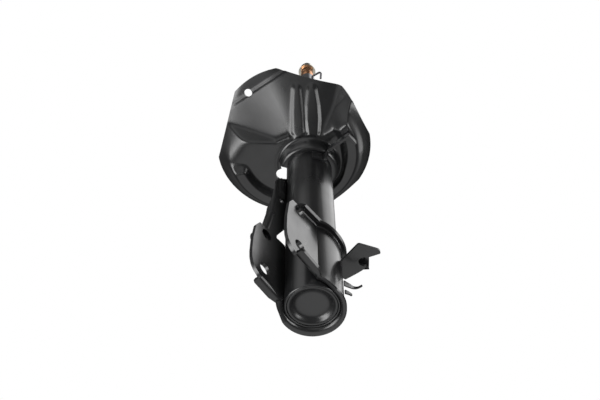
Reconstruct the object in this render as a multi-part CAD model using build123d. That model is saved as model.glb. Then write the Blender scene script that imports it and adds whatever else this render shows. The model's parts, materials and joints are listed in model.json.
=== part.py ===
from build123d import *
from math import atan2, cos, hypot, radians, sin, tan
import os

os.makedirs("parts", exist_ok=True)

# Frame: the strut axis is Z, the knuckle ears point along +X, and the knuckle bolts lie along Y.
# Heights below are drawn from the lower end of the outer tube. Each piece is written with its
# origin at the centre of the dished face of the base cap.

# Clearances
press_gap = 0.02
running_gap = 0.04
stop_gap = 0.3
thread_gap = 0.1

# Damper tube and its closing parts
tube_od = 51.0
tube_wall = 2.0
tube_length = 320.0
tube_lip_width = 4.5
tube_lip_thickness = 1.5
cap_rim_height = 7.0
cap_sheet = 3.0
cap_disc_radius = 17.5
cap_slope_radius = 20.5
cap_recess = 5.5

# Pressure cylinder
cylinder_bore = 30.0
cylinder_wall = 1.5

# Base valve
base_valve_foot_height = 9.0
base_valve_body_height = 5.0
base_valve_port_diameter = 2.6
base_valve_port_circle = 9.5
base_valve_port_count = 8
base_pin_diameter = 5.0
base_pin_head_diameter = 9.0
base_pin_head_height = 1.6
base_disc_thickness = 0.3
base_disc_count = 3
check_plate_thickness = 0.5

# Rod guide and seal
guide_height = 12.0
guide_spigot = 6.0
guide_groove = 2.4
bush_wall = 1.5
bush_length = 14.0
seal_height = 5.0
seal_lip_thickness = 1.6
washer_thickness = 1.5
washer_hole_gap = 1.5

# Piston rod
rod_diameter = 20.0
rod_shoulder_z = 468.0
rod_tip_z = 511.0
top_thread_diameter = 12.0
lower_stud_diameter = 10.0

# Piston and its valves
piston_height = 14.0
piston_radial_gap = 0.35
band_thickness = 1.0
band_height = 8.0
piston_port_diameter = 3.0
piston_port_circle = 10.2
piston_port_count = 6
stop_washer_thickness = 1.6
stop_washer_diameter = 23.0
intake_disc_thickness = 0.4
rebound_disc_thickness = 0.4
rebound_disc_count = 4
rebound_disc_diameter = 24.0
piston_nut_height = 8.0
piston_nut_flats = 16.0
rebound_stop_height = 4.0
rebound_stop_diameter = 26.5
bumper_height = 9.7
bumper_diameter = 26.0
bumper_to_piston = 22.0

# Top nut and spacer
spacer_diameter = 17.0
spacer_height = 23.0
nut_flange_diameter = 23.6
nut_flange_thickness = 2.6
nut_flats = 18.0
nut_height = 11.0

# Knuckle bracket
bracket_sheet = 3.5
ear_gap = 37.3
ear_tip_x = 63.0
bolt_x = 44.7
lower_bolt_z = 26.5
bolt_spacing = 51.3
bolt_hole_diameter = 13.0
flange_width = 7.0
flange_sheet = 3.0
wrap_flange_width = 5.0
wrap_flange_shift = 1.6
bracket_base_z = -2.0
bracket_slope_start_x = 2.0
ear_bend_z = 7.0
ear_flange_end_x = 48.5
ear_flange_end_z = 12.0
ear_tip_low_z = 26.5
ear_tip_high_z = 79.0
ear_tip_high_x = 59.5
ear_top_z = 88.5
ear_top_end_x = 53.0
wrap_top_z = 74.0

# Nut welded outside the far ear
weld_nut_diameter = 19.0
weld_nut_height = 10.5
weld_nut_thread_diameter = 10.8

# Side gusset between the far ear and the tube
gusset_sheet = 3.0
gusset_low_x = 31.0
gusset_root_low_z = 113.0
gusset_root_high_z = 210.0
gusset_top_x = 34.0
gusset_top_z = 192.0
gusset_mid_x = 35.0
gusset_mid_z = 155.0
gusset_foot_x = 45.0
gusset_lip_width = 9.5
gusset_hole_diameter = 6.0
gusset_hole_x = 25.0
gusset_hole_z = 158.0

# Spring seat
seat_sheet = 2.6
seat_center_x = 22.0
seat_center_y = -5.0
seat_radius = 88.5
seat_floor_z = 244.0
seat_groove_inset = 21.5
seat_groove_depth = 7.0
seat_groove_half_width = 13.0
seat_rim_rise = 15.0
seat_rim_width = 3.0
seat_sector_slope = 0.62
seat_sector_flat_angle = 10.0
seat_wall_slope = 1.9
seat_near_wall_angle = -43.7
seat_near_wall_rise = 0.33
seat_near_wall_x = 45.0
seat_far_wall_x = 22.0
seat_groove_start = -58.0
seat_groove_run = 0.8
seat_shoulder_slope = 1.2
seat_shoulder_fall = 0.37
seat_shoulder_x = 72.5
seat_shoulder_y = -32.5
seat_long_flat_inset = 8.4
seat_upper_flat_angle = 51.5
seat_lower_flat_angle = -35.0
seat_short_flat_inset = 3.0
seat_side_flat_angle = 102.5
seat_back_flat_angle = 174.0
seat_collar_height = 16.0
seat_collar_radius = 33.0
seat_hole_diameter = 9.0
seat_hole_inset = 11.2
seat_hole_angle = -2.4

# Twin beads pressed into the raised part of the seat
bead_direction = 37.0
bead_root_width = 13.0
bead_tip_width = 9.0
bead_depth = 4.2
bead_lower_offset = -11.6
bead_upper_offset = 5.4
bead_start = 43.0
bead_end = 82.0

# Upper line bracket
line_sheet = 3.0
line_arm_reach = 63.0
line_arm_height = 7.5
line_arm_x = 6.0
line_z = 228.0
line_foot_height = 13.0
line_foot_angle = 45.0
line_hook_depth = 14.0

# Hose bracket
hose_sheet = 2.5
hose_z = 49.0
hose_notch_diameter = 10.4
hose_angle = 115.0
hose_notch_radius = 50.4
hose_neck_radius = 29.5
hose_middle_radius = 40.5
hose_head_radius = 51.3
hose_slot_radius = 55.6
hose_shoulder_radius = 59.9
hose_tip_radius = 67.6
hose_root_near = 4.0
hose_middle_near = 14.6
hose_head_near = 22.2
hose_tip_near = 5.0
hose_slot_far = 3.5
hose_neck_far = 16.6

# Sensor wire clip
clip_sheet = 1.5
clip_angle = 129.0
clip_z = 16.0
clip_height = 12.0
clip_reach = 17.0

# Formed wire clip on the rim of the spring seat
wire_diameter = 2.2
wire_inset = 3.0
wire_across = 5.0
wire_rise = 11.0
wire_hook = 5.0
wire_width = 11.0

# Sizes worked out from the values above
tube_radius = tube_od / 2
tube_bore_radius = tube_radius - tube_wall
cylinder_bore_radius = cylinder_bore / 2
cylinder_radius = cylinder_bore_radius + cylinder_wall
rod_radius = rod_diameter / 2
cap_top_z = cap_recess + cap_sheet
cylinder_base_z = cap_top_z + base_valve_foot_height
seal_washer_top_z = tube_length - tube_lip_thickness
seal_top_z = seal_washer_top_z - washer_thickness
guide_top_z = seal_top_z - seal_height
guide_shoulder_z = guide_top_z - guide_height
spigot_z = guide_shoulder_z - guide_spigot
bumper_top_z = spigot_z - stop_gap
bumper_base_z = bumper_top_z - bumper_height
stop_base_z = bumper_base_z - rebound_stop_height
rod_seat_z = stop_base_z - bumper_to_piston
intake_top_z = rod_seat_z - stop_washer_thickness
piston_top_z = intake_top_z - intake_disc_thickness
piston_base_z = piston_top_z - piston_height
rebound_base_z = piston_base_z - rebound_disc_thickness * rebound_disc_count
piston_nut_base_z = rebound_base_z - piston_nut_height
piston_radius = cylinder_bore_radius - piston_radial_gap
band_radius = cylinder_bore_radius - running_gap
ear_inner_y = ear_gap / 2
ear_outer_y = ear_inner_y + bracket_sheet
wrap_radius = tube_radius + bracket_sheet
upper_bolt_z = lower_bolt_z + bolt_spacing


def turned(*profile):
    """Solid of revolution about the strut axis from (radius, height) points."""
    return revolve(Plane.XZ * make_face(Polyline(*profile, close=True)), axis=Axis.Z)


def ring(outer, inner, low, high):
    """Plain ring about the strut axis, between two heights."""
    return turned((inner, low), (outer, low), (outer, high), (inner, high))


def disc(radius, low, high):
    """Plain disc about the strut axis, between two heights."""
    return Pos(0, 0, low) * extrude(Circle(radius), amount=high - low)


def side_prism(points, low_y, high_y):
    """Prism along Y over an outline given as (x, z) points."""
    outline = Plane((0, low_y, 0), x_dir=(1, 0, 0), z_dir=(0, -1, 0)) * make_face(Polyline(*points, close=True))
    return extrude(outline, amount=high_y - low_y, dir=(0, 1, 0))


def plan_prism(sketch, low, high):
    """Prism along Z over a plan outline."""
    return Pos(0, 0, low) * extrude(sketch, amount=high - low)


def outer_tube():
    """Reservoir tube with its upper edge rolled in over the seal washer."""
    lip = tube_bore_radius - tube_lip_width
    return turned(
        (tube_bore_radius, 0),
        (tube_radius - 0.8, 0),
        (tube_radius, 0.8),
        (tube_radius, tube_length - 1.5),
        (tube_radius - 1.5, tube_length),
        (lip, tube_length),
        (lip, seal_washer_top_z),
        (tube_bore_radius, seal_washer_top_z),
    )


def base_cap():
    """Pressed cap that closes the lower end, with a dished centre."""
    edge = tube_bore_radius - press_gap
    return turned(
        (0, cap_recess),
        (cap_disc_radius, cap_recess),
        (cap_slope_radius, 0.5),
        (edge - 0.8, 0.5),
        (edge, 1.3),
        (edge, cap_rim_height),
        (edge - 1.5, cap_rim_height),
        (edge - 1.5, cap_sheet + 0.5),
        (cap_slope_radius + 1.5, cap_sheet + 0.5),
        (cap_disc_radius, cap_top_z),
        (0, cap_top_z),
    )


def inner_cylinder():
    """Pressure cylinder that the piston runs in."""
    return ring(cylinder_radius, cylinder_bore_radius, cylinder_base_z, guide_shoulder_z)


def base_valve_body():
    """Valve body between the base cap and the pressure cylinder, standing on four feet."""
    spigot = cylinder_bore_radius - press_gap
    skirt = cylinder_radius
    body = turned(
        (0, cylinder_base_z - base_valve_body_height),
        (skirt, cylinder_base_z - base_valve_body_height),
        (skirt, cylinder_base_z),
        (spigot, cylinder_base_z),
        (spigot, cylinder_base_z + base_valve_body_height),
        (0, cylinder_base_z + base_valve_body_height),
    )
    feet = ring(skirt, skirt - 3.0, cap_top_z, cylinder_base_z - base_valve_body_height)
    for angle in (0, 90):
        feet -= Rot(0, 0, angle) * Pos(0, 0, cap_top_z + 2) * Box(4 * skirt, 10, 4)
    body += feet
    body -= disc(base_pin_diameter / 2, cap_top_z, cylinder_base_z + 2 * base_valve_body_height)
    port = disc(base_valve_port_diameter / 2, cap_top_z, cylinder_base_z + 2 * base_valve_body_height)
    body -= PolarLocations(base_valve_port_circle, base_valve_port_count) * port
    return body


def base_valve_stack():
    """Thin compression discs below the base valve body."""
    top = cylinder_base_z - base_valve_body_height
    stack = []
    for index in range(base_disc_count):
        high = top - index * base_disc_thickness
        radius = base_valve_port_circle + base_valve_port_diameter / 2 + 0.6 - index
        stack.append(ring(radius, base_pin_diameter / 2 + press_gap, high - base_disc_thickness, high))
    return stack


def check_plate():
    """Refill check plate above the base valve body."""
    low = cylinder_base_z + base_valve_body_height
    return ring(cylinder_bore_radius - 1.5, base_pin_diameter / 2 + press_gap, low, low + check_plate_thickness)


def base_valve_pin():
    """Rivet that holds the discs and the check plate to the base valve body."""
    low = cylinder_base_z - base_valve_body_height - base_disc_count * base_disc_thickness
    high = cylinder_base_z + base_valve_body_height + check_plate_thickness
    shank = base_pin_diameter / 2
    head = base_pin_head_diameter / 2
    return turned(
        (0, low - base_pin_head_height),
        (head, low - base_pin_head_height),
        (head, low),
        (shank, low),
        (shank, high),
        (head, high),
        (head, high + base_pin_head_height),
        (0, high + base_pin_head_height),
    )


def rod_guide():
    """Guide that closes the pressure cylinder and carries the rod bush."""
    edge = tube_bore_radius - press_gap
    spigot = cylinder_bore_radius - press_gap
    hole = rod_radius + running_gap + bush_wall + press_gap
    return turned(
        (hole, spigot_z),
        (spigot - 1, spigot_z),
        (spigot, spigot_z + 1),
        (spigot, guide_shoulder_z),
        (cylinder_radius, guide_shoulder_z),
        (edge, guide_shoulder_z + 4),
        (edge, guide_top_z - guide_groove),
        (edge - guide_groove, guide_top_z - guide_groove),
        (edge - guide_groove, guide_top_z),
        (hole, guide_top_z),
    )


def guide_bush():
    """Low friction bush pressed into the rod guide."""
    inner = rod_radius + running_gap
    middle = (spigot_z + guide_top_z) / 2
    return ring(inner + bush_wall, inner, middle - bush_length / 2, middle + bush_length / 2)


def guide_o_ring():
    """Seal ring in the corner groove of the rod guide."""
    radius = guide_groove / 2 - running_gap
    center = tube_bore_radius - press_gap - guide_groove / 2
    section = Plane.XZ * Pos(center, guide_top_z - guide_groove / 2) * Circle(radius)
    return revolve(section, axis=Axis.Z)


def rod_seal():
    """Rod seal with an oil lip below its rim and a dust lip above."""
    lip = rod_radius + running_gap
    edge = tube_bore_radius - press_gap
    return turned(
        (lip, guide_top_z + 0.4),
        (lip + seal_lip_thickness, guide_top_z),
        (edge, guide_top_z),
        (edge, seal_top_z),
        (lip + 3 * seal_lip_thickness, seal_top_z),
        (lip + 2 * seal_lip_thickness, seal_top_z - 1.5),
        (lip + seal_lip_thickness, seal_top_z),
        (lip, seal_top_z - 0.4),
        (lip, seal_top_z - 1.6),
        (lip + 0.8, guide_top_z + seal_height / 2),
        (lip, guide_top_z + 1.6),
    )


def seal_washer():
    """Steel washer between the seal and the rolled lip of the tube."""
    return ring(tube_bore_radius - press_gap, rod_radius + washer_hole_gap, seal_top_z, seal_washer_top_z)


def bracket_plan(outer_radius, outer_y):
    """Plan outline of the bracket: a disc round the tube with two ears along +X."""
    ear_length = ear_tip_x
    ears = Pos(ear_length / 2, 0) * Rectangle(ear_length, 2 * outer_y)
    return Circle(outer_radius) + ears


def bracket_hollow():
    """Plan outline of what the bracket goes round: the tube and the gap between the ears."""
    length = ear_tip_x + 10
    return Circle(tube_radius) + Pos(length / 2, 0) * Rectangle(length, ear_gap)


def edge_band(points, thickness):
    """Outline of a sheet that follows an edge, given from -X to +X, thickened upwards."""
    upper = [(x, z + thickness) for x, z in points]
    return points + upper[::-1]


def knuckle_bracket():
    """Formed bracket: one sheet wrapped round the tube, two ears, and turned-out edges."""
    back = -wrap_radius - wrap_flange_width - 1
    bottom = [
        (back, bracket_base_z),
        (bracket_slope_start_x, bracket_base_z),
        (tube_radius * 0.7, ear_bend_z),
        (ear_flange_end_x, ear_flange_end_z),
    ]
    top = [
        (back, wrap_top_z),
        (bracket_slope_start_x, ear_top_z - 6),
        (tube_radius * 0.7, ear_top_z - 1),
        (ear_top_end_x, ear_top_z - 1),
    ]
    tip = [(ear_tip_x, ear_tip_low_z), (ear_tip_high_x, ear_tip_high_z), (ear_top_end_x + 3, ear_top_z - 1)]
    wall = plan_prism(bracket_plan(wrap_radius, ear_outer_y), bracket_base_z, ear_top_z)
    wall &= side_prism(bottom + tip + top[::-1], -2 * ear_outer_y, 2 * ear_outer_y)
    skirt_plan = Pos(-wrap_flange_shift, -wrap_flange_shift) * Circle(wrap_radius + wrap_flange_width)
    skirt_length = ear_flange_end_x - tube_radius / 2
    skirt_place = Pos(tube_radius / 2 + skirt_length / 2, 0)
    skirt_plan += skirt_place * Rectangle(skirt_length, 2 * (ear_outer_y + flange_width))
    bottom_flange = side_prism(edge_band(bottom, flange_sheet), -60, 60) & plan_prism(skirt_plan, -40, 140)
    lowered = [(x, z - flange_sheet) for x, z in top]
    crown_plan = Circle(wrap_radius + wrap_flange_width)
    crown_length = ear_top_end_x - tube_radius / 2
    crown_place = Pos(tube_radius / 2 + crown_length / 2, 0)
    crown_plan += crown_place * Rectangle(crown_length, 2 * (ear_outer_y + flange_width))
    top_flange = side_prism(edge_band(lowered, flange_sheet), -60, 60) & plan_prism(crown_plan, -40, 140)
    far_side = Pos(gusset_low_x + 50, -50 - ear_outer_y, ear_top_z) * Box(100, 100, 20)
    bracket = wall + bottom_flange + (top_flange - far_side)
    bracket -= plan_prism(bracket_hollow(), -40, 160)
    for z in (lower_bolt_z, upper_bolt_z):
        bracket -= Pos(bolt_x, 0, z) * Rot(90, 0, 0) * Cylinder(bolt_hole_diameter / 2, 4 * ear_outer_y)
    return bracket


def bracket_weld_nut():
    """Nut welded over the upper bolt hole, outside the ear on the -Y side."""
    nut = Cylinder(weld_nut_diameter / 2, weld_nut_height)
    nut = chamfer(nut.edges().group_by(Axis.Z)[-1], 1.2)
    nut -= Cylinder(weld_nut_thread_diameter / 2, 2 * weld_nut_height)
    center_y = -ear_outer_y - weld_nut_height / 2
    return Pos(bolt_x, center_y, upper_bolt_z) * Rot(90, 0, 0) * nut


def side_gusset():
    """Upright plate that carries the far ear up the tube, with its free edge turned out."""
    face_y = -ear_inner_y
    foot_z = ear_top_z - 1
    outline = [
        (gusset_low_x, foot_z),
        (gusset_foot_x, foot_z),
        (gusset_mid_x, gusset_mid_z),
        (gusset_top_x, gusset_top_z),
        (0, gusset_root_high_z + 6),
        (0, gusset_root_low_z + 20),
    ]
    plate = side_prism(outline, face_y - gusset_sheet, face_y)
    lip_outline = [
        (gusset_foot_x - gusset_sheet, foot_z),
        (gusset_foot_x, foot_z),
        (gusset_mid_x, gusset_mid_z),
        (gusset_mid_x - gusset_sheet, gusset_mid_z),
    ]
    lip = side_prism(lip_outline, face_y - gusset_lip_width, face_y)
    gusset = plate + lip
    gusset -= Pos(gusset_hole_x, 0, gusset_hole_z) * Rot(90, 0, 0) * Cylinder(gusset_hole_diameter / 2, 100)
    gusset -= disc(tube_radius, 0, tube_length)
    return gusset


def pan_profile(groove_depth):
    """Pan of the seat as (radius, height) points from its centre out to its rim."""
    groove_z = seat_floor_z - groove_depth
    groove = seat_radius - seat_groove_inset
    half = seat_groove_half_width
    rim = seat_radius - seat_rim_width
    slope = 2 * seat_rim_width
    return [
        (0, seat_floor_z),
        (groove - half, seat_floor_z),
        (groove - half / 2, groove_z + groove_depth / 7),
        (groove, groove_z),
        (groove + half / 2, groove_z + groove_depth / 5),
        (rim, seat_floor_z + seat_rim_rise - slope),
        (seat_radius, seat_floor_z + seat_rim_rise),
    ]


def seat_inner_radius():
    """Radius about the strut axis where the pan meets its turned-down collar."""
    return seat_collar_radius + 2


def seat_outer_radius():
    """Radius about the strut axis that reaches past the whole seat."""
    return seat_radius + hypot(seat_center_x, seat_center_y) + 2


def cone_height(radius):
    """Height of the underside of the raised sector at a radius from the strut axis."""
    return seat_floor_z + seat_sector_slope * (radius - seat_inner_radius())


def under_turned(points):
    """Space under a turned surface, given as (radius, height) points from the axis outwards."""
    floor = seat_floor_z - 2 * seat_radius
    return turned((0, floor), *points, (points[-1][0], floor))


def under_plane(point, slope_x, slope_y):
    """Space under a sloping plane through a point."""
    reach = 6 * seat_radius
    below = (Align.CENTER, Align.CENTER, Align.MAX)
    return Plane(origin=point, z_dir=(-slope_x, -slope_y, 1)) * Box(reach, reach, reach, align=below)


def under_ramp(point, direction, rise, fall):
    """Space under a plane that rises along a direction in plan and falls to its right."""
    ux, uy = cos(radians(direction)), sin(radians(direction))
    return under_plane(point, rise * ux - fall * uy, rise * uy + fall * ux)


def half_plan(angle, side):
    """Prism over everything on one side of a line through the strut axis."""
    reach = 6 * seat_radius
    strip = Rot(0, 0, angle) * Pos(0, side * reach / 2) * Rectangle(reach, reach)
    return plan_prism(strip, seat_floor_z - reach / 2, seat_floor_z + reach / 2)


def under_low_pan():
    """Space under the pan: coil groove, rim, the plain floor before the groove, and the shoulder."""
    center = Pos(seat_center_x, seat_center_y, 0)
    past_rim = [(2 * seat_radius, seat_floor_z + seat_rim_rise)]
    grooved = center * under_turned(pan_profile(seat_groove_depth) + past_rim)
    plain = center * under_turned(pan_profile(0) + past_rim)
    groove_end = under_ramp((0, 0, seat_floor_z), seat_groove_start, 0, seat_groove_run)
    corner = (seat_shoulder_x, seat_shoulder_y, seat_floor_z)
    shoulder = under_ramp(corner, seat_lower_flat_angle, seat_shoulder_slope, seat_shoulder_fall)
    return grooved + (plain & groove_end) + shoulder


def under_raised_sector():
    """Space under the raised part: a cone that runs into a flat, with a sloping wall each side."""
    inner = seat_inner_radius()
    outer = 2 * seat_outer_radius()
    cone = under_turned([(0, cone_height(0)), (outer, cone_height(outer))])
    flat = under_ramp((0, 0, cone_height(0)), seat_sector_flat_angle, seat_sector_slope, 0)
    surface = (cone & half_plan(seat_sector_flat_angle, 1)) + (flat & half_plan(seat_sector_flat_angle, -1))
    near_point = (seat_near_wall_x, 0, cone_height(seat_near_wall_x))
    near_wall = under_ramp(near_point, seat_near_wall_angle, seat_near_wall_rise, seat_wall_slope)
    far_wall = under_plane((seat_far_wall_x, inner, seat_floor_z), seat_wall_slope, 0)
    return surface & near_wall & far_wall


def seat_outline():
    """Plan outline of the seat: a circle trimmed by two long and two short flats."""
    outline = Circle(seat_radius)
    long_flats = [(angle, seat_long_flat_inset) for angle in (seat_upper_flat_angle, seat_lower_flat_angle)]
    short_flats = [(angle, seat_short_flat_inset) for angle in (seat_side_flat_angle, seat_back_flat_angle)]
    for angle, inset in long_flats + short_flats:
        beyond = Pos(2 * seat_radius - inset, 0) * Rectangle(2 * seat_radius, 4 * seat_radius)
        outline -= Rot(0, 0, angle) * beyond
    return Pos(seat_center_x, seat_center_y) * outline


def bead_plan(offset, trim, low, high):
    """Prism over the plan of one bead, narrowing outwards, trimmed all round by a wall."""
    root = Pos(bead_start, offset) * Circle(bead_root_width / 2 - trim)
    tip = Pos(bead_end, offset) * Circle(bead_tip_width / 2 - trim)
    return plan_prism(Rot(0, 0, bead_direction) * make_hull(root.edges() + tip.edges()), low, high)


def pressed_bead(sheet, offset, low, high):
    """Press one bead down out of the sheet, with its floor and its walls."""
    inside = bead_plan(offset, seat_sheet, low, high)
    outside = bead_plan(offset, 0, low, high)
    floor = Pos(0, 0, -bead_depth) * sheet
    walls = (outside - inside) & (sheet + Pos(0, 0, -bead_depth / 2) * sheet + floor)
    return (sheet - inside) + (floor & outside) + walls


def seat_collar():
    """Turned-down collar that grips the tube."""
    low = seat_floor_z - seat_collar_height
    inner = seat_inner_radius()
    return turned(
        (tube_radius, low),
        (tube_radius + seat_sheet, low),
        (tube_radius + seat_sheet + 1.4, seat_floor_z - 11),
        (seat_collar_radius - 1, seat_floor_z - 4),
        (inner, seat_floor_z),
        (inner, seat_floor_z + seat_sheet),
        (seat_collar_radius - 1, seat_floor_z + seat_sheet),
        (seat_collar_radius - 4, seat_floor_z - 2.5),
        (tube_radius, seat_floor_z - 10),
    )


def spring_seat():
    """Stamped lower spring seat: pan with coil groove, shoulder, raised sector, beads and collar."""
    low = seat_floor_z - seat_radius
    high = seat_floor_z + 2 * seat_radius
    under = (under_low_pan() + under_raised_sector()) & plan_prism(seat_outline(), low, high)
    seat = Pos(0, 0, seat_sheet) * under - under
    for offset in (bead_lower_offset, bead_upper_offset):
        seat = pressed_bead(seat, offset, low, high)
    hole_radius = seat_radius - seat_hole_inset
    hole_x = seat_center_x + hole_radius * cos(radians(seat_hole_angle))
    hole_y = seat_center_y + hole_radius * sin(radians(seat_hole_angle))
    seat -= Pos(hole_x, hole_y, seat_floor_z) * Cylinder(seat_hole_diameter / 2, 2 * seat_radius)
    seat -= disc(seat_collar_radius, low, high)
    return seat + seat_collar()


def upper_line_bracket():
    """Bracket for a line on the tube: a welded foot, an arm and a hooked end."""
    outer = tube_radius + line_sheet
    foot_low = line_z - line_foot_height - 1
    foot = ring(outer, tube_radius, foot_low, line_z - 1)
    slope = tan(radians(line_foot_angle))
    wedge = Polyline((0, 0), (tube_od / slope, tube_od), (line_arm_x + line_sheet, tube_od), close=True)
    foot &= plan_prism(make_face(wedge), foot_low, line_z)
    arm_outline = Polyline(
        (tube_radius, foot_low),
        (outer + 1.5, foot_low),
        (seat_collar_radius, line_z),
        (line_arm_reach, line_z),
        (line_arm_reach, line_z + line_arm_height),
        (seat_collar_radius + 4, line_z + line_arm_height),
        (outer + 1, line_z - 1),
        (tube_radius, line_z - 1),
        close=True,
    )
    arm = Pos(line_arm_x, 0, 0) * extrude(Plane.YZ * make_face(arm_outline), amount=line_sheet)
    hook_size = (line_hook_depth, line_sheet, line_arm_height)
    hook_x = line_arm_x + line_sheet - line_hook_depth / 2
    hook = Pos(hook_x, line_arm_reach - line_sheet / 2, line_z + line_arm_height / 2) * Box(*hook_size)
    return foot + (arm - disc(tube_radius, 0, tube_length)) + hook


def hose_bracket():
    """Flat bracket for a brake hose with an open notch, welded to the wrap."""
    root = wrap_radius - hose_sheet
    outline = [
        (root, -hose_root_near),
        (hose_neck_radius, -hose_root_near - hose_sheet),
        (hose_middle_radius, -hose_middle_near),
        (hose_head_radius, -hose_head_near),
        (hose_shoulder_radius, -hose_middle_near),
        (hose_tip_radius, -hose_tip_near),
        (hose_tip_radius - hose_sheet, -hose_root_near),
        (hose_slot_radius, -hose_root_near),
        (hose_head_radius, hose_slot_far),
        (hose_middle_radius + hose_sheet, hose_neck_far - hose_root_near),
        (hose_neck_radius, hose_neck_far),
        (root, hose_neck_far - hose_tip_near),
    ]
    plate = plan_prism(Rot(0, 0, hose_angle) * make_face(Polyline(*outline, close=True)), hose_z, hose_z + hose_sheet)
    notch = Rot(0, 0, hose_angle) * Pos(hose_notch_radius, 0, hose_z)
    plate -= notch * Cylinder(hose_notch_diameter / 2, 20)
    plate -= disc(wrap_radius, 0, hose_z + wrap_radius)
    return plate


def sensor_clip():
    """Small tongue for a sensor wire, standing off the wrap."""
    inner = wrap_radius
    foot = Pos(inner + clip_sheet / 2, 0, clip_height / 2) * Box(clip_sheet, 10, clip_height)
    tongue = Pos(inner + clip_reach / 2, -4, clip_height) * Box(clip_reach, clip_sheet, 8)
    piece = Rot(0, 0, clip_angle) * Pos(0, 0, clip_z) * (foot + tongue)
    return piece - disc(inner, 0, 200)


def seat_wire_clip():
    """Formed wire clip on the rim of the spring seat."""
    turned_x, turned_y = cos(radians(seat_upper_flat_angle)), sin(radians(seat_upper_flat_angle))
    reach = seat_radius - seat_long_flat_inset - wire_inset
    foot_x = seat_center_x + reach * turned_x - wire_across * turned_y
    foot_y = seat_center_y + reach * turned_y + wire_across * turned_x
    foot_z = cone_height(hypot(foot_x, foot_y))
    foot = Vector(foot_x, foot_y, foot_z)
    corner = foot + Vector(0, 0, seat_sheet + wire_rise)
    turn = corner + Vector(-wire_hook / 2, wire_width, wire_hook / 2)
    path = FilletPolyline(foot, corner, turn, turn - Vector(wire_hook, wire_hook, wire_hook), radius=1.8)
    section = Plane(origin=path @ 0, z_dir=path % 0) * Circle(wire_diameter / 2)
    return sweep(section, path=path) - Pos(0, 0, seat_sheet) * under_raised_sector()


def piston_rod():
    """Chromed rod with a stud for the piston below and a threaded end above."""
    lower = lower_stud_diameter / 2
    upper = top_thread_diameter / 2
    return turned(
        (0, piston_nut_base_z - 2),
        (lower - 0.8, piston_nut_base_z - 2),
        (lower, piston_nut_base_z - 1),
        (lower, rod_seat_z),
        (rod_radius, rod_seat_z),
        (rod_radius, rod_shoulder_z - 1),
        (rod_radius - 1, rod_shoulder_z),
        (upper, rod_shoulder_z),
        (upper, rod_tip_z - 1.2),
        (upper - 1.2, rod_tip_z),
        (0, rod_tip_z),
    )


def piston():
    """Ported piston with a groove for its band."""
    hole = lower_stud_diameter / 2 + press_gap
    groove_low = piston_base_z + (piston_height - band_height) / 2
    groove_high = groove_low + band_height
    groove = band_radius - band_thickness - running_gap
    body = turned(
        (hole, piston_base_z),
        (piston_radius, piston_base_z),
        (piston_radius, groove_low),
        (groove, groove_low),
        (groove, groove_high),
        (piston_radius, groove_high),
        (piston_radius, piston_top_z),
        (hole, piston_top_z),
    )
    port = disc(piston_port_diameter / 2, piston_base_z - 1, piston_top_z + 1)
    return body - PolarLocations(piston_port_circle, piston_port_count) * port


def piston_band():
    """Sliding band between the piston and the cylinder."""
    low = piston_base_z + (piston_height - band_height) / 2 + running_gap
    return ring(band_radius, band_radius - band_thickness, low, low + band_height - 2 * running_gap)


def stud_hole():
    """Radius of a hole that fits the lower stud of the rod."""
    return lower_stud_diameter / 2 + press_gap


def rebound_discs():
    """Rebound valve discs below the piston, smaller towards the nut."""
    discs = []
    for index in range(rebound_disc_count):
        high = piston_base_z - index * rebound_disc_thickness
        radius = rebound_disc_diameter / 2 - 1.5 * index
        discs.append(ring(radius, stud_hole(), high - rebound_disc_thickness, high))
    return discs


def piston_nut():
    """Hexagon nut that clamps the piston to the rod."""
    blank = Pos(0, 0, rebound_base_z - piston_nut_height) * extrude(
        RegularPolygon(piston_nut_flats / 2, 6, major_radius=False), amount=piston_nut_height
    )
    return blank - disc(stud_hole(), piston_nut_base_z - 1, rebound_base_z + 1)


def top_nut():
    """Hexagon nut with a round flange on the threaded end of the rod."""
    low = rod_shoulder_z + spacer_height
    hole = top_thread_diameter / 2 + press_gap
    flange = turned(
        (hole, low),
        (nut_flange_diameter / 2, low),
        (nut_flange_diameter / 2, low + 1.0),
        (nut_flats / 2, low + nut_flange_thickness),
        (hole, low + nut_flange_thickness),
    )
    hexagon = Pos(0, 0, low) * extrude(RegularPolygon(nut_flats / 2, 6, major_radius=False), amount=nut_height)
    crown = turned((0, low), (nut_flats / 2 + 3.4, low), (nut_flats / 2 + 0.2, low + nut_height), (0, low + nut_height))
    nut = flange + (hexagon & crown)
    return nut - disc(hole, low - 1, low + nut_height + 1)


def stud_spacer():
    """Plated spacer collar below the top nut."""
    hole = top_thread_diameter / 2 + thread_gap
    return ring(spacer_diameter / 2, hole, rod_shoulder_z, rod_shoulder_z + spacer_height)


def write(name, shape):
    """Write one node, a solid or a group of separate solids, with the origin at the cap face."""
    pieces = shape if isinstance(shape, list) else [shape]
    placed = [Pos(0, 0, -cap_recess) * piece for piece in pieces]
    node = Compound(children=placed) if len(placed) > 1 else placed[0]
    export_step(node, "parts/" + name + ".step")


rod_hole = rod_radius + press_gap

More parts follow.
